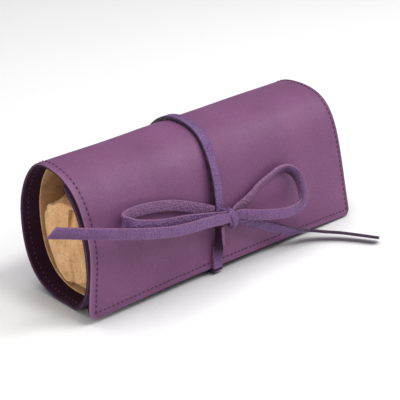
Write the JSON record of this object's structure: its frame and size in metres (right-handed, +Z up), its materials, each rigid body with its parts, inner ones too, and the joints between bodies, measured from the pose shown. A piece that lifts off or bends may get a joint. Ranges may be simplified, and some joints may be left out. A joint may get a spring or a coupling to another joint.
{
  "type": "jewelry roll",
  "caption": "Rolled leather jewelry case with suede lining, zipped pouches and a padded ring bar, closed by a flap and a lace tied in a bow.",
  "frame": {"origin": "middle of the flat floor, on the surface that the roll lies on", "axes": "+X along the roll towards its right end, +Y to the back, away from the flap, +Z up"},
  "size_m": [0.2415, 0.1166, 0.0844],
  "materials": {
    "leather": "satin grained purple leather",
    "facing": "matt dark purple turned edge",
    "suede_lining": "napped tan suede",
    "suede_pouch": "napped tan suede, padded",
    "lace": "pebbled purple lace",
    "zip_tape": "woven tape",
    "brass": "polished brass"
  },
  "bodies": {
    "base": {"cover_bottom": "leather", "facing_bottom": "facing", "lining_bottom": "suede_lining", "lace_under": "lace"},
    "heel": {"cover_heel": "leather", "facing_heel": "facing", "lining_heel": "suede_lining", "lace_heel": "lace"},
    "crown": {"cover_crown": "leather", "facing_crown": "facing", "lining_crown": "suede_lining", "lace_crown": "lace"},
    "front_wall": {"cover_front": "leather", "facing_front": "facing", "lining_front": "suede_lining", "front_pouch": "suede_pouch", "front_zip_tape_left": "zip_tape", "front_zip_tape_right": "zip_tape", "front_zip_teeth_left": "brass", "front_zip_teeth_right": "brass", "front_zip_stop": "brass"},
    "back_wall": {"cover_back": "leather", "facing_back": "facing", "lining_back": "suede_lining", "lace_back": "lace", "back_pouch": "suede_pouch", "back_zip_tape_left": "zip_tape", "back_zip_tape_right": "zip_tape", "back_zip_teeth_left": "brass", "back_zip_teeth_right": "brass", "back_zip_stop": "brass"},
    "top_panel": {"cover_top": "leather", "facing_top": "facing", "lining_top": "suede_lining", "lace_top": "lace", "ring_bar_hinge_tab": "leather", "snap_stud": "brass"},
    "flap": {"cover_flap": "leather", "facing_flap": "facing", "lining_flap": "suede_lining", "lace_upper": "lace", "lace_lower": "lace", "knot": "lace", "bow_loop_left": "lace", "bow_loop_right": "lace", "bow_tail_left": "lace", "bow_tail_right": "lace"},
    "front_zip_slider": {"front_zip_slider": "brass"},
    "front_zip_pull": {"front_zip_pull": "brass"},
    "back_zip_slider": {"back_zip_slider": "brass"},
    "back_zip_pull": {"back_zip_pull": "brass"},
    "ring_bar": {"ring_bar": "suede_pouch", "ring_bar_snap_tab": "leather", "snap_cap": "brass"}
  },
  "joints": [
    {"name": "heel_fold", "type": "hinge", "parent": "base", "child": "heel", "pos_m": [0, 0.01692, 0.00087], "axis": [-1, 0, 0], "range_deg": [0, 32]},
    {"name": "back_fold", "type": "hinge", "parent": "heel", "child": "back_wall", "pos_m": [0, 0.0309, 0.02353], "axis": [-1, 0, 0], "range_deg": [0, 42]},
    {"name": "crown_fold", "type": "hinge", "parent": "back_wall", "child": "crown", "pos_m": [0, 0.03255, 0.06515], "axis": [-1, 0, 0], "range_deg": [0, 36]},
    {"name": "top_fold", "type": "hinge", "parent": "crown", "child": "top_panel", "pos_m": [0, 0.01765, 0.08277], "axis": [-1, 0, 0], "range_deg": [0, 44]},
    {"name": "flap_fold", "type": "hinge", "parent": "top_panel", "child": "flap", "pos_m": [0, -0.01637, 0.07846], "axis": [-1, 0, 0], "range_deg": [0, 45]},
    {"name": "front_fold", "type": "hinge", "parent": "base", "child": "front_wall", "pos_m": [0, -0.02532, 0.00608], "axis": [1, 0, 0], "range_deg": [0, 35]},
    {"name": "ring_bar_lift", "type": "hinge", "parent": "top_panel", "child": "ring_bar", "pos_m": [0.04815, 0.008, 0.06586], "axis": [0, -1, 0], "range_deg": [0, 25]},
    {"name": "front_zip_slide", "type": "slide", "parent": "front_wall", "child": "front_zip_slider", "axis": [-1, 0, 0], "range_m": [0, 0.132]},
    {"name": "front_zip_pull_swing", "type": "hinge", "parent": "front_zip_slider", "child": "front_zip_pull", "pos_m": [0.066, -0.00256, 0.06325], "axis": [0, 1, 0], "range_deg": [0, 150]},
    {"name": "back_zip_slide", "type": "slide", "parent": "back_wall", "child": "back_zip_slider", "axis": [-1, 0, 0], "range_m": [0, 0.132]},
    {"name": "back_zip_pull_swing", "type": "hinge", "parent": "back_zip_slider", "child": "back_zip_pull", "pos_m": [0.066, 0.01963, 0.05775], "axis": [0, 1, 0], "range_deg": [0, 150]}
  ],
  "couplings": [
    {"joint": "back_fold", "follows": "heel_fold", "ratio": 1.3125},
    {"joint": "crown_fold", "follows": "heel_fold", "ratio": 1.125},
    {"joint": "top_fold", "follows": "heel_fold", "ratio": 1.375},
    {"joint": "flap_fold", "follows": "heel_fold", "ratio": 1.4062},
    {"joint": "front_fold", "follows": "heel_fold", "ratio": 1.0938},
    {"joint": "ring_bar_lift", "follows": "heel_fold", "ratio": 0.78125}
  ]
}
